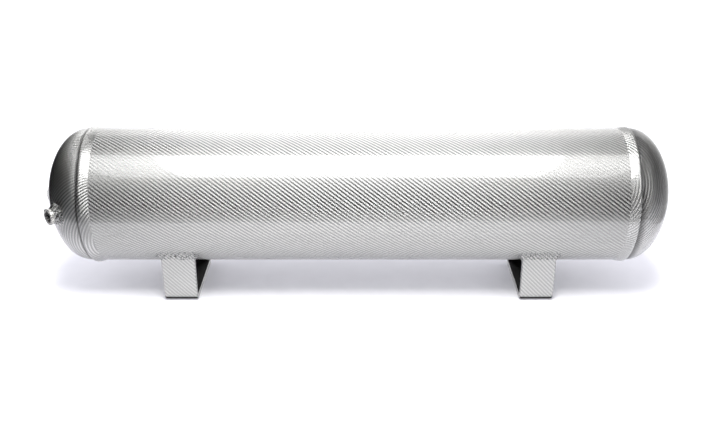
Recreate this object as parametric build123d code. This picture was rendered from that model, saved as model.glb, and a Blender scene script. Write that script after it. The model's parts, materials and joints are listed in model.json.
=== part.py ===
from build123d import *

import os
from math import radians, sqrt, tan

# Compressed-air receiver tank: a welded aluminium cylinder with two spun heads, three
# threaded ports in the left head and two feet, bent from flat bar, under the belly.
#
# Frame: +X along the tank, away from the ported head; +Z up; the origin is on the floor,
# in the middle of the four foot bolts. All lengths are in millimetres.

# ---- Driving dimensions ----
TUBE_R = 76.2               # outside radius of the tube: 6 in across
WALL = 3.2                  # sheet thickness of the tube and the heads
AXIS_Z = 112.0              # height of the tank's axis over the floor
POLE_X = 354.2              # from the middle of the tank to the outside of each head's pole
DOME_RISE = 45.5            # half-axis of the elliptical dome along X, outside

GROOVE_GAP = 1.6            # gap between the tube's end and the head's shoulder
BEVEL_ANGLE = 30.0          # weld preparation, measured from square
LIP_LENGTH = 12.0           # joggled lip of each head, inside the tube
LIP_CLEARANCE = 0.1         # radial, between the lip and the tube

PORT_RIM_R = 9.5            # threaded bung: turned from 19 mm bar
PORT_NECK_R = 8.7           # bung between its rim and the head
PORT_SPIGOT_R = 7.9         # the stretch of the bung that goes through the head
PORT_RIM = 2.2              # thickness of the bung's rim
PORT_HOLE_R = 5.95          # tapped hole of a 1/4 in pipe thread
PORT_CHAMFER = 0.9
PORT_LENGTH = 16.0
PORT_WELD_LEG = 5.5
PORT_RIM_CLEARANCE = 0.4    # least gap between the weld and the bung's rim
SPIGOT_CLEARANCE = 0.1

FOOT_X = 206.0              # from the origin to the middle of each foot
FOOT_STRIP = 38.1           # width of the foot's flat bar: 1 1/2 in
FOOT_THICKNESS = 6.35       # thickness of the bar: 1/4 in
FOOT_HALF_SPAN = 54.0       # half of the foot's outside width, across the tank
FOOT_BEND_R = 9.5           # outside radius of the foot's bends
FOOT_EDGE_R = 0.8           # rounded edges of the bar
FOOT_HOLE_R = 4.4           # clearance hole for a 5/16 in bolt
FOOT_HOLE_Y = 25.4          # from the foot's middle to each hole
FOOT_WELD_R = 5.6


class End:
    """One end of the tank: the way it faces, where its seam is, and its girth weld's size."""

    def __init__(self, side, seam_x, bead_half_width, bead_crown):
        self.side = side
        self.seam_x = seam_x
        self.bead_half_width = bead_half_width
        self.bead_crown = bead_crown


class Port:
    """One threaded port: where its axis crosses the head, and how far its bung stands out."""

    def __init__(self, share, stand):
        self.share = share
        self.stand = stand


ENDS = {
    "left": End(side=-1, seam_x=299.5, bead_half_width=6.8, bead_crown=2.3),
    "right": End(side=1, seam_x=301.0, bead_half_width=6.5, bead_crown=1.6),
}

# A port's share is the distance of its crossing from the tank's axis, as a share of TUBE_R.
PORTS = {
    "front": Port(share=-0.84, stand=9.6),
    "centre": Port(share=0.0, stand=5.0),
    "rear": Port(share=0.84, stand=9.6),
}

# ---- Worked out from the driving dimensions ----
TUBE_INNER_R = TUBE_R - WALL
LIP_R = TUBE_INNER_R - LIP_CLEARANCE
DOME_X = POLE_X - DOME_RISE
BEVEL_RUN = WALL * tan(radians(BEVEL_ANGLE))


def corner(point):
    """A point of an outline, given as X and radius, in the plane that is spun."""
    return Vector(point[0], 0, point[1])


def line_edges(*points):
    """Straight edges through points of X and radius."""
    return [Edge.make_line(corner(a), corner(b)) for a, b in zip(points, points[1:])]


def ellipse_edge(half_x, half_radius):
    """A quarter ellipse from the pole to the dome's largest circle."""
    plane = Plane(origin=(DOME_X, 0, 0), x_dir=(1, 0, 0), z_dir=(0, -1, 0))
    return Edge.make_ellipse(half_x, half_radius, plane, 0, 90)


def spin(edges):
    """One turn of a closed outline about the X axis."""
    return Solid.revolve(Face(Wire(edges)), 360, Axis.X)


def at_end(solid, end):
    """Faces a solid, made towards +X, to one end of the tank and lifts it to the axis."""
    turn = 0 if end.side > 0 else 180
    return Location((0, 0, AXIS_Z), (0, 0, turn)) * solid


def make_tube():
    """The tube, bevelled outside at both ends."""
    left, right = -ENDS["left"].seam_x, ENDS["right"].seam_x
    half_gap = GROOVE_GAP / 2
    outline = line_edges(
        (left + half_gap, TUBE_INNER_R),
        (right - half_gap, TUBE_INNER_R),
        (right - half_gap - BEVEL_RUN, TUBE_R),
        (left + half_gap + BEVEL_RUN, TUBE_R),
        (left + half_gap, TUBE_INNER_R),
    )
    return Location((0, 0, AXIS_Z)) * spin(outline)


def make_head(end):
    """A spun head: elliptical dome, straight skirt, and a joggled lip that enters the tube."""
    shoulder = end.seam_x + GROOVE_GAP / 2
    lip_end = end.seam_x - LIP_LENGTH
    outside = line_edges((DOME_X, TUBE_R), (shoulder + BEVEL_RUN, TUBE_R), (shoulder, LIP_R))
    lip = line_edges((shoulder, LIP_R), (lip_end, LIP_R), (lip_end, LIP_R - WALL))
    inside = line_edges(
        (lip_end, LIP_R - WALL),
        (shoulder, LIP_R - WALL),
        (shoulder + WALL, TUBE_INNER_R),
        (DOME_X, TUBE_INNER_R),
    )
    outer_dome = ellipse_edge(DOME_RISE, TUBE_R)
    inner_dome = ellipse_edge(DOME_RISE - WALL, TUBE_INNER_R)
    pole = line_edges((POLE_X, 0), (POLE_X - WALL, 0))
    head = spin([outer_dome] + outside + lip + inside + [inner_dome] + pole)
    return at_end(head, end)


def make_girth_weld(end):
    """The weld that fills the groove between the tube and a head, with its crown outside."""
    seam, half_gap, half_width = end.seam_x, GROOVE_GAP / 2, end.bead_half_width
    groove = line_edges(
        (seam + half_width, TUBE_R),
        (seam + half_gap + BEVEL_RUN, TUBE_R),
        (seam + half_gap, LIP_R),
        (seam - half_gap, LIP_R),
        (seam - half_gap, TUBE_INNER_R),
        (seam - half_gap - BEVEL_RUN, TUBE_R),
        (seam - half_width, TUBE_R),
    )
    crown = Edge.make_three_point_arc(
        corner((seam - half_width, TUBE_R)),
        corner((seam, TUBE_R + end.bead_crown)),
        corner((seam + half_width, TUBE_R)),
    )
    return at_end(spin(groove + [crown]), end)


def port_place(port):
    """Where a port crosses the left head, with local +X along the head's outward normal."""
    fall = sqrt(1 - port.share ** 2)
    origin = (-(DOME_X + DOME_RISE * fall), port.share * TUBE_R, AXIS_Z)
    normal = (-fall / DOME_RISE, port.share / TUBE_R, 0)
    return Plane(origin=origin, x_dir=normal, z_dir=(0, 0, 1)).location


def make_port_cutter(port):
    """The clearance hole that a bung's spigot passes through."""
    reach = PORT_LENGTH
    radius = PORT_SPIGOT_R + SPIGOT_CLEARANCE
    outline = line_edges((-reach, 0), (reach, 0), (reach, radius), (-reach, radius), (-reach, 0))
    return port_place(port) * spin(outline)


def make_port_bung(port):
    """A turned bung: rim, neck and spigot, bored for a tapped hole with a chamfered mouth."""
    tail = port.stand - PORT_LENGTH
    outline = line_edges(
        (tail, PORT_HOLE_R),
        (tail, PORT_SPIGOT_R),
        (0, PORT_SPIGOT_R),
        (0, PORT_NECK_R),
        (port.stand - PORT_RIM, PORT_NECK_R),
        (port.stand - PORT_RIM, PORT_RIM_R),
        (port.stand, PORT_RIM_R),
        (port.stand, PORT_HOLE_R + PORT_CHAMFER),
        (port.stand - PORT_CHAMFER, PORT_HOLE_R),
        (tail, PORT_HOLE_R),
    )
    return port_place(port) * spin(outline)


def make_port_weld(port, head):
    """The fillet weld round a bung's neck, with a slightly hollow face."""
    root = -WALL * 0.9
    toe_r = PORT_NECK_R + PORT_WELD_LEG
    height = min(PORT_WELD_LEG, port.stand - PORT_RIM - PORT_RIM_CLEARANCE)
    outline = line_edges((0, toe_r), (root, toe_r), (root, PORT_NECK_R), (height, PORT_NECK_R))
    face = Edge.make_three_point_arc(
        corner((height, PORT_NECK_R)),
        corner((height * 0.42, PORT_NECK_R + PORT_WELD_LEG * 0.42)),
        corner((0, toe_r)),
    )
    return port_place(port) * spin(outline + [face]) - head


def make_tank_body():
    """The solid cylinder that the feet and their welds are cut to fit."""
    length = ENDS["left"].seam_x + ENDS["right"].seam_x
    return Location((0, 0, AXIS_Z), (0, 90, 0)) * Solid.make_cylinder(
        TUBE_R, length, Plane(origin=(0, 0, -length / 2))
    )


def make_foot(centre_x, tank_body):
    """A flat bar bent into a U, its legs cut to the tank's curve, with two bolt holes in its base."""
    height = AXIS_Z - TUBE_R / 2
    outer = Box(FOOT_STRIP, 2 * FOOT_HALF_SPAN, height, align=(Align.CENTER, Align.CENTER, Align.MIN))
    outer = fillet(outer.edges().filter_by(Axis.X).group_by(Axis.Z)[0], FOOT_BEND_R)
    inner_span = 2 * (FOOT_HALF_SPAN - FOOT_THICKNESS)
    inner = Pos(0, 0, FOOT_THICKNESS) * Box(
        2 * FOOT_STRIP, inner_span, height, align=(Align.CENTER, Align.CENTER, Align.MIN)
    )
    inner = fillet(
        inner.edges().filter_by(Axis.X).group_by(Axis.Z)[0], FOOT_BEND_R - FOOT_THICKNESS
    )
    bar = outer - inner
    rims = bar.faces().filter_by(Axis.X).edges()
    bar = fillet(rims.filter_by(lambda edge: edge.center().Z < height - 1), FOOT_EDGE_R)
    for side in (-1, 1):
        bar -= Pos(0, side * FOOT_HOLE_Y, 0) * Cylinder(FOOT_HOLE_R, 3 * FOOT_THICKNESS)
    return Pos(centre_x, 0, 0) * bar - tank_body


def make_foot_weld(centre_x, side, tank_body, foot):
    """The weld along the outside of one leg, turned round both edges of the bar."""
    def on_tank(y):
        return AXIS_Z - sqrt(TUBE_R ** 2 - y ** 2)

    outer_y = side * FOOT_HALF_SPAN
    inner_y = side * (FOOT_HALF_SPAN - FOOT_THICKNESS)
    left, right = centre_x - FOOT_STRIP / 2, centre_x + FOOT_STRIP / 2
    path = [
        Vector(left, inner_y, on_tank(inner_y)),
        Vector(left, outer_y, on_tank(outer_y)),
        Vector(right, outer_y, on_tank(outer_y)),
        Vector(right, inner_y, on_tank(inner_y)),
    ]
    bead = Sphere(FOOT_WELD_R).moved(Location(path[0]))
    for start, finish in zip(path, path[1:]):
        run = finish - start
        plane = Plane(origin=start, z_dir=run)
        bead += Solid.make_cylinder(FOOT_WELD_R, run.length, plane)
        bead += Sphere(FOOT_WELD_R).moved(Location(finish))
    return bead - tank_body - foot


def write(solid, node):
    export_step(solid, os.path.join("parts", node + ".step"))


os.makedirs("parts", exist_ok=True)
write(make_tube(), "shell_tube")

heads = {name: make_head(end) for name, end in ENDS.items()}
for port in PORTS.values():
    heads["left"] -= make_port_cutter(port)
for name, end in ENDS.items():
    write(heads[name], name + "_head")
    write(make_girth_weld(end), name + "_girth_weld")

for name, port in PORTS.items():
    write(make_port_bung(port), name + "_port_bung")
    write(make_port_weld(port, heads["left"]), name + "_port_weld")

tank_body = make_tank_body()
for name, end in ENDS.items():
    centre_x = end.side * FOOT_X
    foot = make_foot(centre_x, tank_body)
    write(foot, name + "_foot")
    for face, side in (("front", -1), ("rear", 1)):
        write(make_foot_weld(centre_x, side, tank_body, foot), name + "_foot_" + face + "_weld")
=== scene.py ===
"""The looks of the air receiver tank, in metres and in the CAD frame.

+X runs along the tank, away from the ported head, +Z is up and the camera is on the -Y side.
The tube, the heads and the feet are the CAD nodes themselves. The welds and the bungs are
rebuilt here, with their ripples and threads. A metallised twill fabric under a clear coat
covers everything but the bungs. Black is painted as shade inside and under the feet and in
the bungs' bores, and the film is painted darker as shade beside the girth welds and towards
the heads' poles.
"""

import json
from math import cos, pi, radians, sin, sqrt

import bmesh
import bpy
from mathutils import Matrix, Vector, noise


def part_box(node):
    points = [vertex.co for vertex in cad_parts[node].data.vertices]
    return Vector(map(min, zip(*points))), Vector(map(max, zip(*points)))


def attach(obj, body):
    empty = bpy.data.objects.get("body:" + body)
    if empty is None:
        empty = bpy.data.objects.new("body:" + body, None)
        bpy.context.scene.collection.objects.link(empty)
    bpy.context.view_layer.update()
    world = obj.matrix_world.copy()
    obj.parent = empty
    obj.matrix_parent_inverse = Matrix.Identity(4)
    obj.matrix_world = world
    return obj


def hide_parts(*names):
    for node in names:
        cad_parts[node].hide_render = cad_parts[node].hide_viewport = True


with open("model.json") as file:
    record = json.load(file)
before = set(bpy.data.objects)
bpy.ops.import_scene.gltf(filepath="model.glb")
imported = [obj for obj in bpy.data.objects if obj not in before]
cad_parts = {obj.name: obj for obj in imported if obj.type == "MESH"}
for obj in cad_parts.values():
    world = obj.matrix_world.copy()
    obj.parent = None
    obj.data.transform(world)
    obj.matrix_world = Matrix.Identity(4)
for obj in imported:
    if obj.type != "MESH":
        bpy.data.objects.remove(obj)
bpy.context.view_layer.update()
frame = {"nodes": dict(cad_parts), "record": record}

# ---- Sizes read from the frame ----
HEAD_LOW, HEAD_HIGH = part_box("right_head")
AXIS_Z = (HEAD_LOW.z + HEAD_HIGH.z) / 2
TUBE_R = (HEAD_HIGH.z - HEAD_LOW.z) / 2
POLE_X = HEAD_HIGH.x
MOUNTS = {mount["name"]: mount for mount in frame["record"]["mounts"]}

# ---- Sizes that the frame doesn't give ----
DOME_RISE = 0.0455          # half-axis of the elliptical domes along X
FOOT_BAR = 0.00635          # thickness of the feet's flat bar
BUNG_RIM = 0.0022           # thickness of a bung's rim
BUNG_RIM_R = 0.0095
BUNG_NECK_R = 0.0087
BUNG_SPIGOT_R = 0.0079
BUNG_LENGTH = 0.016
BUNG_CHAMFER = 0.0009
THREAD_PITCH = 0.0254 / 18  # of a 1/4 in pipe thread
THREAD_DEPTH = 0.00075
PORT_WELD_LEG = 0.0055
FOOT_WELD_LEG = 0.0056
SUNK = 0.0002               # how far a weld's hidden edges sink into its neighbours

# ---- The fabric ----
TOWS_ROUND = 436            # tows that run along the tube, counted round it; a multiple of 4
TOW_ALONG = 0.00146         # width of the tows that run round the tube
HEAD_TOW = 0.00124          # width of both tows on the heads
FOOT_TOW = 0.00118
FIBRES = 9                  # streaks of fibre across a tow
# The tows are one silvered fibre. The darker silver is partly painted shade for the dark room that
# those tows mirror across their fibres, and the anisotropic shading gives the rest. On the feet
# this painted shade is weaker, because the key lights their front faces straight on.
SILVERS = ((0.49, 0.49, 0.48), (0.82, 0.82, 0.805))     # of the tows along v and along u
FOOT_SILVERS = ((0.60, 0.60, 0.59), (0.82, 0.82, 0.805))
BLACK = (0.006, 0.006, 0.006)   # the base coat where a weld's film has torn; painted shade in the bungs' bores, in and under the feet, and on the heads
FIBRE_SHADE = 0.86          # the darkest streak, as a share of a tow's silver
GAP_SHADE = 0.55            # the same for a tow's edge
GAP_WIDTH = 0.35            # how far the shade at its edge reaches towards its middle
# Painted shade on the heads: the film's silver is darkened beside the girth welds and towards the
# poles
SHADE_BY_WELD = 0.25         # share of the film's silver beside a girth weld
SHADE_BY_POLE = 0.4          # and at a head's pole
TEAR_SCALE = 700.0          # of the specks where the film has torn, per metre
TEAR_EDGE = 0.06
NOISE_SPAN = (0.3, 0.7)     # what a noise node mostly gives

# ---- Camera and lights ----
CAMERA_REACH = 1.0859       # from the tank's axis
CAMERA_RISE = 21.0          # degrees, of the line from the axis to the camera
CAMERA_PITCH = 25.7         # degrees, of the camera's own axis
CAMERA_SIDE = 0.0024
CAMERA_LENS = 46.53         # millimetres, on a 36 mm sensor
CAMERA_SHIFT = (-0.0011, 0.0772)

SOFTBOX_HEIGHT = 1.0        # of all softboxes, over the tank's axis
STRIP_Y, KEY_Y = (-0.90, -0.035), (-0.72, -0.10)
STRIP_END, WING_END, KEY_END = 0.43, 0.60, 0.25   # along X from the middle
STRIP_RADIANCE, WING_RADIANCE, KEY_RADIANCE = 8.5, 2.6, 22.0
ROOM_LIGHT = (1.18, 1.18, 1.30)   # what the floor gets from all round
FLOOR_X = (-0.56, 0.52)     # the white sheet's edges, just out of the picture
FLOOR_BACK = 1.50
FLOOR_FRONT = (-0.262, -0.305)   # at its left and right corners
FLOOR_GLOW = 0.12           # light that comes through the sheet
FLOOR_TINT = (0.93, 0.93, 1.0)
FLOOR_MIRRORED = 0.85       # brightness of its reflection, as a share of its own


class End:
    """One end of the tank: how its fabric lies and how its girth weld is shaped."""

    def __init__(self, side, turned, reach, peak, bow):
        self.side = side        # the way it faces along X
        self.turned = turned    # degrees that its fabric is turned about the axis
        self.reach = reach      # how far from the weld the painted shade reaches
        self.peak = peak        # where the weld is highest, as a share of its half width
        self.bow = bow          # 1 for a straight slope on the tube's side, 0 for a parabola


ENDS = {
    "left": End(side=-1, turned=17, reach=0.003, peak=0.37, bow=0.4),
    "right": End(side=1, turned=75, reach=0.010, peak=0.54, bow=0.5),
}


class Nodes:
    """Adds nodes to one tree. Its methods give back the new node's output, and add the node."""

    def __init__(self, tree):
        self.tree = tree

    def feed(self, value, socket):
        """Links an output to a socket, or sets the socket to a value."""
        if isinstance(value, bpy.types.NodeSocket):
            self.tree.links.new(value, socket)
        elif socket.type == "RGBA" and len(value) == 3:
            socket.default_value = (*value, 1)
        else:
            socket.default_value = value

    def add(self, kind, *inputs, **settings):
        node = self.tree.nodes.new(kind)
        for name, value in settings.items():
            setattr(node, name, value)
        for value, socket in zip(inputs, node.inputs):
            self.feed(value, socket)
        return node

    def math(self, operation, *inputs):
        return self.add("ShaderNodeMath", *inputs, operation=operation).outputs[0]

    def vector(self, operation, *inputs):
        node = self.add("ShaderNodeVectorMath", *inputs, operation=operation)
        return node.outputs["Value" if operation == "DOT_PRODUCT" else "Vector"]

    def scale(self, vector, factor):
        node = self.add("ShaderNodeVectorMath", vector, operation="SCALE")
        self.feed(factor, node.inputs["Scale"])
        return node.outputs["Vector"]

    def mix(self, share, first, second, kind="FLOAT"):
        node = self.add("ShaderNodeMix", data_type=kind)
        first_socket = {"FLOAT": 2, "VECTOR": 4, "RGBA": 6}[kind]
        self.feed(share, node.inputs[0])
        self.feed(first, node.inputs[first_socket])
        self.feed(second, node.inputs[first_socket + 1])
        return node.outputs[{"FLOAT": 0, "VECTOR": 1, "RGBA": 2}[kind]]

    def split(self, vector):
        return self.add("ShaderNodeSeparateXYZ", vector).outputs

    def join(self, x, y, z):
        return self.add("ShaderNodeCombineXYZ", x, y, z).outputs[0]

    def range(self, value, low, high, to_low=0.0, to_high=1.0):
        node = self.add("ShaderNodeMapRange", value, low, high, to_low, to_high)
        node.interpolation_type = "SMOOTHSTEP"
        return node.outputs[0]

    def noise(self, vector, scale, detail=2.0, roughness=0.5):
        node = self.add("ShaderNodeTexNoise")
        self.feed(vector, node.inputs["Vector"])
        node.inputs["Scale"].default_value = scale
        node.inputs["Detail"].default_value = detail
        node.inputs["Roughness"].default_value = roughness
        return node.outputs["Fac"]

    def steps(self, value, stops):
        """A ramp of greys: stops are pairs of place and grey, and the value runs from 0 to 1."""
        node = self.add("ShaderNodeValToRGB", value)
        ramp = node.color_ramp
        ramp.elements[0].position, ramp.elements[-1].position = stops[0][0], stops[-1][0]
        for place, _ in stops[1:-1]:
            ramp.elements.new(place)
        for element, (_, grey) in zip(ramp.elements, stops):
            element.color = (grey, grey, grey, 1)
        return node.outputs["Color"]


def new_material(name):
    """A material with one Principled shader, its node helper and that shader's inputs."""
    material = bpy.data.materials.new(name)
    material.use_nodes = True
    nodes = Nodes(material.node_tree)
    return material, nodes, material.node_tree.nodes["Principled BSDF"].inputs


# ---- Where the fabric lies ----


class Lay:
    """How the fabric lies on a part: its two coordinates in tows, and its tows' directions."""

    def __init__(self, u, v, along_u, along_v):
        self.u = u
        self.v = v
        self.along_u = along_u
        self.along_v = along_v


def round_the_axis(nodes):
    """X, the radius, the cosine and sine of the angle up from the front, and the way round."""
    x, y, z = nodes.split(nodes.add("ShaderNodeTexCoord").outputs["Object"])
    front = nodes.math("MULTIPLY", y, -1)
    height = nodes.math("SUBTRACT", z, AXIS_Z)
    squares = nodes.math("ADD", nodes.math("POWER", front, 2), nodes.math("POWER", height, 2))
    radius = nodes.math("SQRT", squares)
    cosine = nodes.math("DIVIDE", front, radius)
    sine = nodes.math("DIVIDE", height, radius)
    return x, radius, cosine, sine, nodes.join(0, sine, cosine)


def lay_on_tube(nodes):
    """One set of tows runs along the tube and the other round it."""
    x, _, cosine, sine, way_round = round_the_axis(nodes)
    turn = nodes.math("DIVIDE", nodes.math("ARCTAN2", sine, cosine), 2 * pi)
    u = nodes.math("DIVIDE", x, TOW_ALONG)
    v = nodes.math("MULTIPLY", turn, TOWS_ROUND)
    return Lay(u, v, (1, 0, 0), way_round)


def lay_on_head(nodes, end):
    """The fabric spreads over a head from its pole, turned by some degrees about it."""
    x, radius, cosine, sine, way_round = round_the_axis(nodes)
    beyond = nodes.math("SUBTRACT", nodes.math("MULTIPLY", x, end.side), POLE_X - DOME_RISE)
    on_dome = nodes.math("MAXIMUM", beyond, 0.0)
    on_skirt = nodes.math("MAXIMUM", nodes.math("MULTIPLY", beyond, -1), 0.0)
    turn = nodes.math(
        "ARCTAN2", nodes.math("DIVIDE", radius, TUBE_R), nodes.math("DIVIDE", on_dome, DOME_RISE)
    )
    # The arc from the pole along an ellipse, to the first two terms of its series.
    mean, swing = (TUBE_R + DOME_RISE) * 0.508, (TUBE_R - DOME_RISE) / 4
    wave = nodes.math("SINE", nodes.math("MULTIPLY", turn, 2))
    arc = nodes.math("ADD", nodes.math("MULTIPLY", turn, mean), nodes.math("MULTIPLY", wave, swing))
    arc = nodes.math("DIVIDE", nodes.math("ADD", arc, on_skirt), HEAD_TOW)
    normal = nodes.add("ShaderNodeNewGeometry").outputs["Normal"]
    to_tube = (-end.side, 0, 0)
    lean = nodes.vector("DOT_PRODUCT", normal, to_tube)
    from_pole = nodes.vector("SUBTRACT", to_tube, nodes.scale(normal, lean))
    from_pole = nodes.vector("NORMALIZE", from_pole)
    forward = nodes.vector("SUBTRACT", nodes.scale(from_pole, cosine), nodes.scale(way_round, sine))
    upward = nodes.vector("ADD", nodes.scale(from_pole, sine), nodes.scale(way_round, cosine))
    p = nodes.math("MULTIPLY", arc, cosine)
    q = nodes.math("MULTIPLY", arc, sine)
    c, s = cos(radians(end.turned)), sin(radians(end.turned))
    u = nodes.math("ADD", nodes.math("MULTIPLY", p, c), nodes.math("MULTIPLY", q, s))
    v = nodes.math("SUBTRACT", nodes.math("MULTIPLY", p, s), nodes.math("MULTIPLY", q, c))
    along_u = nodes.vector("ADD", nodes.scale(forward, c), nodes.scale(upward, s))
    along_v = nodes.vector("SUBTRACT", nodes.scale(forward, s), nodes.scale(upward, c))
    return Lay(u, v, along_u, along_v)


def lay_on_foot(nodes):
    """The fabric follows the bar: up its legs, and across under its base."""
    x, y, z = nodes.split(nodes.add("ShaderNodeTexCoord").outputs["Object"])
    normal = nodes.add("ShaderNodeNewGeometry").outputs["Normal"]
    on_base = nodes.math("GREATER_THAN", nodes.math("ABSOLUTE", nodes.split(normal)[2]), 0.7)
    u = nodes.math("DIVIDE", nodes.mix(on_base, z, y), FOOT_TOW)
    v = nodes.math("DIVIDE", x, FOOT_TOW)
    along_u = nodes.mix(on_base, (0, 0, 1), (0, 1, 0), "VECTOR")
    return Lay(u, v, along_u, (1, 0, 0))


def foot_painted_shade_mask(nodes):
    """1 on the outer faces and the edges of a foot's bar, 0 inside its U and under it, where black
    is painted as shade: the dark inside of the U and the contact shadow under the bend.
    """
    y = nodes.split(nodes.add("ShaderNodeTexCoord").outputs["Object"])[1]
    normal = nodes.split(nodes.add("ShaderNodeNewGeometry").outputs["Normal"])
    outward = nodes.math("MULTIPLY", normal[1], nodes.math("SIGN", y))
    # below this, on the underside of the bend, black is a painted contact shadow
    on_face = nodes.math("GREATER_THAN", outward, 0.89)
    on_edge = nodes.math("GREATER_THAN", nodes.math("ABSOLUTE", normal[0]), 0.6)
    return nodes.math("MAXIMUM", on_face, on_edge)


def painted_shade_by_weld_and_pole(name, reach):
    """A mask for a head's painted shade: darker beside the girth weld, where the crease against the
    bead lies in shade, and towards the pole, where the dome mirrors the dark room.
    """
    low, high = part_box(name + "_girth_weld")
    toe = max(abs(low.x), abs(high.x))

    def share(nodes):
        x = nodes.split(nodes.add("ShaderNodeTexCoord").outputs["Object"])[0]
        outward = nodes.math("ABSOLUTE", x)
        by_weld = nodes.range(outward, toe, toe + reach, SHADE_BY_WELD, 1.0)
        by_pole = nodes.range(outward, toe + 0.01, POLE_X, 1.0, SHADE_BY_POLE)
        return nodes.math("MULTIPLY", by_weld, by_pole)

    return share


def torn(level):
    """A mask for a rough weld: the film has torn in specks, more of them at a higher level."""
    def share(nodes):
        place = nodes.add("ShaderNodeTexCoord").outputs["Object"]
        return nodes.range(nodes.noise(place, TEAR_SCALE, 3.0, 0.6), level, level + TEAR_EDGE)

    return share


# ---- Materials ----


def crown(nodes, share):
    """1 in the middle of a tow and 0 at its edges, for a share of its width from 0 to 1."""
    offset = nodes.math("MULTIPLY_ADD", share, 2, -1)
    return nodes.math("SUBTRACT", 1, nodes.math("POWER", offset, 2))


def weave_twill(nodes, lay):
    """A 2 by 2 twill: where the tows along u are on top, and the height of the cloth."""
    column = nodes.math("FLOOR", lay.u)
    row = nodes.math("FLOOR", lay.v)
    place = nodes.math("FLOORED_MODULO", nodes.math("ADD", column, row), 4)
    on_top = nodes.math("LESS_THAN", place, 1.5)
    along_u = nodes.math("FLOORED_MODULO", nodes.math("ADD", lay.u, row), 4)
    along_v = nodes.math("FLOORED_MODULO", nodes.math("ADD", lay.v, column), 4)
    float_u = nodes.math("MULTIPLY", along_u, 0.5)
    float_v = nodes.math("MULTIPLY_ADD", along_v, 0.5, -1)
    edge_u = crown(nodes, nodes.math("FRACT", lay.v))
    edge_v = crown(nodes, nodes.math("FRACT", lay.u))
    height_u = nodes.math("MULTIPLY", edge_u, crown(nodes, float_u))
    height_v = nodes.math("MULTIPLY", edge_v, crown(nodes, float_v))
    height = nodes.mix(on_top, height_v, height_u)
    edge = nodes.mix(on_top, edge_v, edge_u)
    return on_top, height, edge


def film(name, make_lay, film_or_black=None, silvers=SILVERS, **options):
    """The metallised twill under its clear coat. Light spreads across each tow's fibres.

    Where the mask is low, black shows: the base coat where a weld's film has torn, and painted
    shade on the heads and the feet.
    """
    material, nodes, surface = new_material(name)
    lay = make_lay(nodes, **options)
    on_top, height, edge = weave_twill(nodes, lay)

    fibres = nodes.join(
        nodes.math("MULTIPLY", lay.u, nodes.mix(on_top, FIBRES, 0.5)),
        nodes.math("MULTIPLY", lay.v, nodes.mix(on_top, 0.5, FIBRES)),
        on_top,
    )
    streaks = nodes.range(nodes.noise(fibres, 1.0), *NOISE_SPAN, FIBRE_SHADE, 1.0)
    gap = nodes.range(edge, 0.0, GAP_WIDTH, GAP_SHADE, 1.0)
    # the darker silver of one set of tows is partly painted shade
    silver = nodes.mix(on_top, *silvers, "RGBA")
    shade = nodes.math("MULTIPLY", streaks, gap)
    colour = nodes.vector("MULTIPLY", silver, nodes.join(shade, shade, shade))

    surface["Metallic"].default_value = 1.0
    surface["Coat Weight"].default_value = 1.0
    # black where the film is torn, and painted shade where a shade mask is low
    if film_or_black:
        share = film_or_black(nodes)
        colour = nodes.mix(share, BLACK, colour, "RGBA")
        not_black = nodes.math("GREATER_THAN", share, 0.05)
        nodes.feed(not_black, surface["Metallic"])
        nodes.feed(not_black, surface["Coat Weight"])
    nodes.feed(colour, surface["Base Color"])
    nodes.feed(nodes.mix(on_top, lay.along_u, lay.along_v, "VECTOR"), surface["Tangent"])
    surface["Roughness"].default_value = 0.6
    surface["Anisotropic"].default_value = 1.0
    surface["Coat Roughness"].default_value = 0.03
    surface["Coat IOR"].default_value = 1.5
    bump = nodes.add("ShaderNodeBump")
    bump.inputs["Strength"].default_value = 0.5
    bump.inputs["Distance"].default_value = 0.0001
    nodes.feed(height, bump.inputs["Height"])
    nodes.feed(bump.outputs["Normal"], surface["Normal"])
    return material


def port_metal(name, port):
    """Turned aluminium, speckled where the film has torn over its edges; the bore is painted black
    as shade.
    """
    material, nodes, surface = new_material(name)
    place = nodes.add("ShaderNodeTexCoord").outputs["Object"]
    offset = nodes.vector("SUBTRACT", place, port.mouth)
    along = nodes.vector("DOT_PRODUCT", offset, port.axis)
    aside = nodes.vector("SUBTRACT", offset, nodes.scale(port.axis, along))
    radius = nodes.math("SQRT", nodes.vector("DOT_PRODUCT", aside, aside))
    outside = nodes.math("GREATER_THAN", radius, port.hole_r + BUNG_CHAMFER * 0.7)
    rings = nodes.noise(nodes.join(nodes.math("ADD", radius, along), 0, 0), 9000.0, 1.0)
    torn = nodes.range(nodes.noise(place, 900.0, 3.0, 0.6), 0.42, 0.56)
    bright = nodes.mix(torn, (0.10, 0.10, 0.095), (0.74, 0.73, 0.68), "RGBA")
    # the bore is painted black as shade, and made rough
    nodes.feed(nodes.mix(outside, BLACK, bright, "RGBA"), surface["Base Color"])
    nodes.feed(nodes.math("MULTIPLY", outside, 0.55), surface["Metallic"])
    tool_marks = nodes.range(rings, *NOISE_SPAN, 0.26, 0.42)
    nodes.feed(nodes.mix(outside, 0.9, tool_marks), surface["Roughness"])
    nodes.feed(nodes.math("MULTIPLY", outside, 0.6), surface["Coat Weight"])
    surface["Coat Roughness"].default_value = 0.06
    bump = nodes.add("ShaderNodeBump")
    bump.inputs["Strength"].default_value = 0.4
    bump.inputs["Distance"].default_value = 0.00005
    nodes.feed(rings, bump.inputs["Height"])
    nodes.feed(bump.outputs["Normal"], surface["Normal"])
    return material


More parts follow.
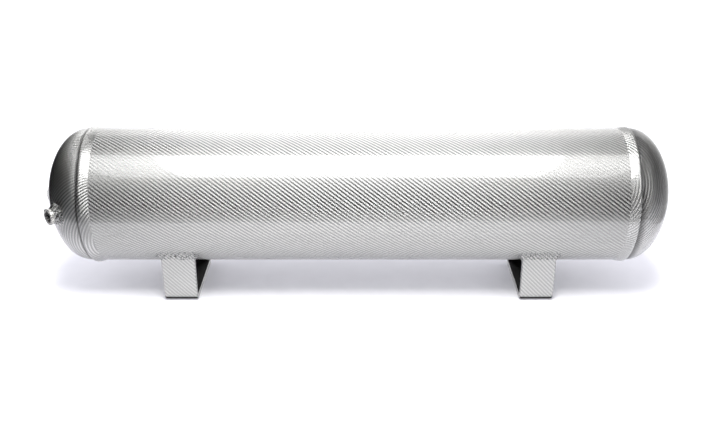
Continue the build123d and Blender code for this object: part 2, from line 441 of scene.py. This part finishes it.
def floor_paper():
    """White paper, very slightly mottled. Its reflection is a little darker than the paper is."""
    material, nodes, surface = new_material("floor_paper")
    place = nodes.add("ShaderNodeTexCoord").outputs["Object"]
    mirrored = nodes.add("ShaderNodeLightPath").outputs["Is Glossy Ray"]
    grey = nodes.range(nodes.noise(place, 30.0, 4.0), *NOISE_SPAN, 0.78, 0.80)
    grey = nodes.math("MULTIPLY", grey, nodes.mix(mirrored, 1.0, FLOOR_MIRRORED))
    nodes.feed(nodes.join(grey, grey, grey), surface["Base Color"])
    nodes.feed(FLOOR_TINT, surface["Emission Color"])
    surface["Emission Strength"].default_value = FLOOR_GLOW
    surface["Roughness"].default_value = 0.9
    surface["Specular IOR Level"].default_value = 0.2
    return material


def dress(node, material):
    """Gives a CAD node its material."""
    for part in frame["nodes"][node].material_slots:
        part.material = material


# ---- Studio ----


def make_camera():
    """The camera, above the front of the tank."""
    camera = bpy.data.objects.new("camera", bpy.data.cameras.new("camera"))
    rise = radians(CAMERA_RISE)
    camera.location = (CAMERA_SIDE, -CAMERA_REACH * cos(rise), AXIS_Z + CAMERA_REACH * sin(rise))
    camera.rotation_euler = (radians(90 - CAMERA_PITCH), 0, 0)
    camera.data.lens = CAMERA_LENS
    camera.data.shift_x, camera.data.shift_y = CAMERA_SHIFT
    bpy.context.scene.collection.objects.link(camera)
    bpy.context.scene.camera = camera


def make_softbox(name, x_range, y_range, radiance):
    """A rectangular light over the tank."""
    left, right = x_range
    near, far = y_range
    light = bpy.data.lights.new(name, "AREA")
    light.shape = "RECTANGLE"
    light.size, light.size_y = right - left, far - near
    light.energy = radiance * pi * light.size * light.size_y
    softbox = bpy.data.objects.new(name, light)
    softbox.location = ((left + right) / 2, (near + far) / 2, AXIS_Z + SOFTBOX_HEIGHT)
    softbox.visible_camera = False
    bpy.context.scene.collection.objects.link(softbox)
    return softbox


def light_the_set():
    """A long strip with dimmer wings that the tank mirrors, and a key that lights the floor."""
    strips = (
        make_softbox("strip", (-STRIP_END, STRIP_END), STRIP_Y, STRIP_RADIANCE),
        make_softbox("left_wing", (-WING_END, -STRIP_END), STRIP_Y, WING_RADIANCE),
        make_softbox("right_wing", (STRIP_END, WING_END), STRIP_Y, WING_RADIANCE),
    )
    for strip in strips:
        strip.visible_diffuse = False
    key = make_softbox("key", (-KEY_END, KEY_END), KEY_Y, KEY_RADIANCE)
    key.visible_glossy = False


def make_room():
    """What the tank reflects: a white backdrop, a grey ceiling, and a dark room in front."""
    world = bpy.data.worlds.new("room")
    world.use_nodes = True
    world.node_tree.nodes.clear()
    nodes = Nodes(world.node_tree)
    x, y, z = nodes.split(nodes.add("ShaderNodeTexCoord").outputs["Generated"])

    def turn(first, second):
        """An angle as a share of a turn, with straight back at 0.5."""
        return nodes.math("MULTIPLY_ADD", nodes.math("ARCTAN2", first, second), 0.5 / pi, 0.5)

    def at(degrees):
        """A place on a ramp over the rise: straight back is at 0 and straight up at 90."""
        return 0.5 + degrees / 360

    def aside_at(degrees):
        """A place on a ramp over the angle to the side: right is above 0 and left below."""
        return 0.5 + degrees / 180

    rise = turn(z, y)
    aside = nodes.math("MULTIPLY_ADD", nodes.math("ARCSINE", x), 1 / pi, 0.5)
    walls = nodes.steps(rise, [
        (0.0, 0.05), (at(-170), 0.05), (at(-90), 0.3), (at(-20), 1.2), (at(38), 1.2),
        (at(40), 0.0), (at(140), 0.0), (at(160), 0.05), (1.0, 0.05),
    ])
    walls_aside = nodes.steps(aside, [
        (0.0, 0.0), (aside_at(-34), 0.0), (aside_at(-27), 0.2), (aside_at(-20), 0.8),
        (aside_at(-12), 1.0), (aside_at(30), 1.0), (aside_at(40), 0.6), (aside_at(55), 0.3),
        (aside_at(70), 0.2), (1.0, 0.05),
    ])
    ceiling = nodes.steps(rise, [
        (0.0, 0.0), (at(38), 0.0), (at(40), 0.5), (at(120), 0.5), (at(132), 1.0), (at(150), 0.6),
        (at(165), 0.0), (1.0, 0.0),
    ])
    ceiling_aside = nodes.steps(aside, [
        (0.0, 0.0), (aside_at(-30), 0.0), (aside_at(-22), 0.3), (aside_at(-14), 1.0),
        (aside_at(14), 1.0), (aside_at(32), 0.35), (aside_at(60), 0.1), (1.0, 0.05),
    ])
    backdrop = nodes.math("MULTIPLY", walls, walls_aside)
    light = nodes.math("MULTIPLY_ADD", ceiling, ceiling_aside, backdrop)
    mirrored = nodes.add("ShaderNodeLightPath").outputs["Is Glossy Ray"]
    colour = nodes.mix(mirrored, ROOM_LIGHT, nodes.join(light, light, light), "RGBA")
    room = nodes.add("ShaderNodeBackground", colour, 1.0)
    output = nodes.add("ShaderNodeOutputWorld")
    nodes.feed(room.outputs[0], output.inputs["Surface"])
    world.cycles.sampling_method = "NONE"
    bpy.context.scene.world = world


def make_floor():
    """The white sheet that the tank stands on."""
    left, right = FLOOR_X
    left_front, right_front = FLOOR_FRONT
    front = [(left, left_front, 0), (right, right_front, 0)]
    back = [(right, FLOOR_BACK, 0), (left, FLOOR_BACK, 0)]
    mesh = bpy.data.meshes.new("floor")
    mesh.from_pydata(front + back, [], [(0, 1, 2, 3)])
    mesh.materials.append(floor_paper())
    floor = bpy.data.objects.new("floor", mesh)
    bpy.context.scene.collection.objects.link(floor)


# ---- Pieces ----


def skin(name, node, material, loops, closed):
    """A solid piece through a row of closed loops of points. It stands for a CAD node."""
    width = len(loops[0])
    vertices = [point for loop in loops for point in loop]
    joins = [(row, row + 1) for row in range(len(loops) - 1)]
    faces = []
    if closed:
        joins.append((len(loops) - 1, 0))
    else:
        faces.append(tuple(range(width)))
        faces.append(tuple(range(len(vertices) - width, len(vertices))))
    for first, second in joins:
        for place in range(width):
            after = (place + 1) % width
            faces.append((
                first * width + place, first * width + after,
                second * width + after, second * width + place,
            ))
    mesh = bpy.data.meshes.new(name)
    mesh.from_pydata(vertices, [], faces)
    mesh.materials.append(material)
    work = bmesh.new()
    work.from_mesh(mesh)
    bmesh.ops.recalc_face_normals(work, faces=work.faces)
    work.to_mesh(mesh)
    work.free()
    mesh.shade_smooth()
    mesh.set_sharp_from_angle(angle=radians(40))
    piece = bpy.data.objects.new(name, mesh)
    bpy.context.scene.collection.objects.link(piece)
    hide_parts(node)
    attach(piece, "root")


def make_girth_weld(name, end, material):
    """A rippled bead round the tank: a long slope on the tube's side, a steep one on the head's."""
    node = name + "_girth_weld"
    low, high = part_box(node)
    seam_x, half_width = (low.x + high.x) / 2, (high.x - low.x) / 2
    crown_height = ((high.z - low.z) / 2 - TUBE_R) * 0.94 + SUNK
    steps, places, ripples = 1200, 24, 150
    lump_size, ripple_size = 0.06, 0.012    # as shares of the crown's height
    root_half_width, root_depth = 0.0011, 0.0019

    def profile(across):
        if across < end.peak:
            down = (end.peak - across) / (1 + end.peak)
            return 1 - end.bow * down - (1 - end.bow) * down ** 2
        return 1 - ((across - end.peak) / (1 - end.peak)) ** 3

    loops = []
    for step in range(steps):
        turn = 2 * pi * step / steps
        loop = []
        for place in range(places + 1):
            across = 2 * place / places - 1
            lump = noise.noise(Vector((cos(turn) * 9, sin(turn) * 9, across))) * lump_size
            ripple = sin(ripples * turn + 2.5 * across ** 2) * ripple_size
            height = crown_height * (profile(across) + (lump + ripple) * (1 - across ** 2)) - SUNK
            loop.append((across * half_width, height))
        loop += [(root_half_width, -root_depth), (-root_half_width, -root_depth)]
        loops.append([
            Vector((
                seam_x + end.side * offset,
                -(TUBE_R + height) * cos(turn),
                AXIS_Z + (TUBE_R + height) * sin(turn),
            ))
            for offset, height in loop
        ])
    skin(name + "_girth_bead", node, material, loops, closed=True)


class Port:
    """A port of the left head, from its mount: its mouth, its axis and its hole."""

    def __init__(self, name):
        mount = MOUNTS[name + "_port"]
        self.name = name
        self.axis = Vector(mount["axis"])
        self.hole_r = mount["dims"]["r_mm"] / 1000
        half_hole = mount["dims"]["length_mm"] / 2000
        self.mouth = Vector(mount["pos_m"]) + self.axis * (half_hole + BUNG_CHAMFER)
        self.across = Vector((0, 0, 1)).cross(self.axis)
        self.stand = self.over_dome(self.mouth)

    def over_dome(self, point):
        """How far a point is from the dome, against the port's axis."""
        def as_ball(vector):
            return Vector((vector.x / DOME_RISE, vector.y / TUBE_R, vector.z / TUBE_R))

        start = as_ball(point - Vector((DOME_RISE - POLE_X, 0, AXIS_Z)))
        run = as_ball(-self.axis)
        b, c = start.dot(run), start.dot(start) - 1
        return (-b - sqrt(b ** 2 - run.dot(run) * c)) / run.dot(run)

    def at(self, turn, along, radius):
        """A point round the port's axis. Along it, 0 is the mouth and the head is below 0."""
        aside = self.across * cos(turn) + Vector((0, 0, 1)) * sin(turn)
        return self.mouth + self.axis * along + aside * radius


def make_bung(port, material):
    """A turned bung with its rim, neck and spigot, and a helical pipe thread in its bore."""
    steps, rows_per_thread, soften = 96, 14, 0.0003
    rows = int(BUNG_LENGTH / THREAD_PITCH * rows_per_thread)
    outside = [
        (0, BUNG_RIM_R - soften), (-soften, BUNG_RIM_R), (soften - BUNG_RIM, BUNG_RIM_R),
        (-BUNG_RIM, BUNG_RIM_R - soften), (-BUNG_RIM, BUNG_NECK_R), (-port.stand, BUNG_NECK_R),
        (-port.stand, BUNG_SPIGOT_R), (-BUNG_LENGTH, BUNG_SPIGOT_R),
    ]

    def bore(turn, along):
        """The thread's flanks, opened out by the chamfer at the mouth."""
        phase = (along / THREAD_PITCH - turn / (2 * pi)) % 1
        flank = min(1, max(0, 1.2 - 2.4 * abs(phase - 0.5)))
        chamfer = port.hole_r + BUNG_CHAMFER + along
        return max(port.hole_r + THREAD_DEPTH * flank, chamfer)

    loops = []
    for step in range(steps):
        turn = 2 * pi * step / steps
        alongs = [-BUNG_LENGTH * (1 - row / rows) for row in range(rows + 1)]
        profile = outside + [(along, bore(turn, along)) for along in alongs]
        loops.append([port.at(turn, along, radius) for along, radius in profile])
    skin(port.name + "_bung", port.name + "_port_bung", material, loops, closed=True)


def make_port_weld(port, material):
    """A rough fillet round a bung, draped from just under its rim to the dome."""
    steps, places, ripples = 240, 14, 34
    lump_size, ripple_size = 0.0005, 0.00018
    height = min(PORT_WELD_LEG * 1.2, port.stand - BUNG_RIM) * 0.93
    loops = []
    for step in range(steps):
        turn = 2 * pi * step / steps
        around = Vector((cos(turn), sin(turn), 0)) * 3
        leg = PORT_WELD_LEG * (1 + 0.12 * noise.noise(around))
        loop = []
        for place in range(places + 1):
            out = place / places
            mouth_level = port.at(turn, 0, BUNG_NECK_R + leg * out)
            lump = noise.noise(around * 4 + Vector((0, 0, out * 5))) * lump_size
            ripple = sin(ripples * turn + 3 * out) * ripple_size
            rise = height * (1 - out) ** 1.5 + (lump + ripple) * 4 * out * (1 - out)
            sink = SUNK if out == 1 else 0
            loop.append(mouth_level + port.axis * (rise - sink - port.over_dome(mouth_level)))
        foot = port.at(turn, 0, BUNG_NECK_R - SUNK)
        loop.append(foot - port.axis * (port.over_dome(foot) + SUNK))
        loop.append(port.at(turn, height - port.stand, BUNG_NECK_R - SUNK))
        loops.append(loop)
    skin(port.name + "_port_bead", port.name + "_port_weld", material, loops, closed=True)


def make_foot_weld(name, face, side, material):
    """A hollow fillet along the outside of one leg, turned round both edges of the bar."""
    low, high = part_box(name + "_foot")
    outer_y, inner_y = side * high.y, side * (high.y - FOOT_BAR)
    corners = [(low.x, inner_y), (low.x, outer_y), (high.x, outer_y), (high.x, inner_y)]
    ways = [Vector((-1, 0, 0)), Vector((0, side, 0)), Vector((1, 0, 0))]
    step_length, fan_steps, places = 0.0004, 10, 10
    lump_size, ripple_size = 0.0006, 0.0002

    stations = []
    for number, (start, finish) in enumerate(zip(corners, corners[1:])):
        start, finish = Vector((*start, 0)), Vector((*finish, 0))
        run = finish - start
        steps = int(run.length / step_length)
        for step in range(steps + 1):
            stations.append((start + run * step / steps, ways[number]))
        if number < 2:
            for step in range(1, fan_steps):
                turn = pi / 2 * step / fan_steps
                stations.append((finish, ways[number] * cos(turn) + ways[number + 1] * sin(turn)))

    def belly(point):
        """The point of the tube's underside over or under a point."""
        return Vector((point.x, point.y, AXIS_Z - sqrt(TUBE_R ** 2 - point.y ** 2)))

    loops = []
    for station, (base, way) in enumerate(stations):
        leg = FOOT_WELD_LEG * (1 + 0.15 * noise.noise(base * 300 + way))
        down = Vector((0, 0, -leg))
        root = belly(base)
        toe = belly(base + way * leg)
        loop = []
        for place in range(places + 1):
            out = place / places
            point = (root + down) * (1 - out) ** 2 + root * 2 * out * (1 - out) + toe * out ** 2
            lump = noise.noise(point * 700) * lump_size
            ripple = sin(station * 0.9 + 2 * out) * ripple_size
            loop.append(point + (way - Vector((0, 0, 1))) * (lump + ripple) * 4 * out * (1 - out))
        loop.append(toe + Vector((0, 0, SUNK)))
        loop.append(root - way * SUNK + Vector((0, 0, SUNK)))
        loop.append(root - way * SUNK + down)
        loops.append(loop)
    leg_name = name + "_foot_" + face
    skin(leg_name + "_bead", leg_name + "_weld", material, loops, closed=False)


make_camera()
light_the_set()
make_room()
make_floor()
bpy.context.scene.view_settings.view_transform = "Standard"
bpy.context.scene.cycles.denoising_input_passes = "RGB_ALBEDO"

dress("shell_tube", film("tube_film", lay_on_tube))
for name, end in ENDS.items():
    # painted shade beside the girth weld and towards the pole
    painted_shade = painted_shade_by_weld_and_pole(name, end.reach)
    dress(name + "_head", film(name + "_head_film", lay_on_head, painted_shade, end=end))
    make_girth_weld(name, end, film(name + "_bead_film", lay_on_head, end=end))

port_weld_film = film("port_weld_film", lay_on_head, torn(0.44), end=ENDS["left"])
for name in ("centre", "front", "rear"):
    port = Port(name)
    make_bung(port, port_metal(name + "_port_metal", port))
    make_port_weld(port, port_weld_film)

# black inside and under the feet is painted shade
foot_film = film("foot_film", lay_on_foot, foot_painted_shade_mask, FOOT_SILVERS)
foot_weld_film = film("foot_weld_film", lay_on_foot, torn(0.4))
for name in ENDS:
    dress(name + "_foot", foot_film)
    make_foot_weld(name, "front", -1, foot_weld_film)
    make_foot_weld(name, "rear", 1, foot_weld_film)
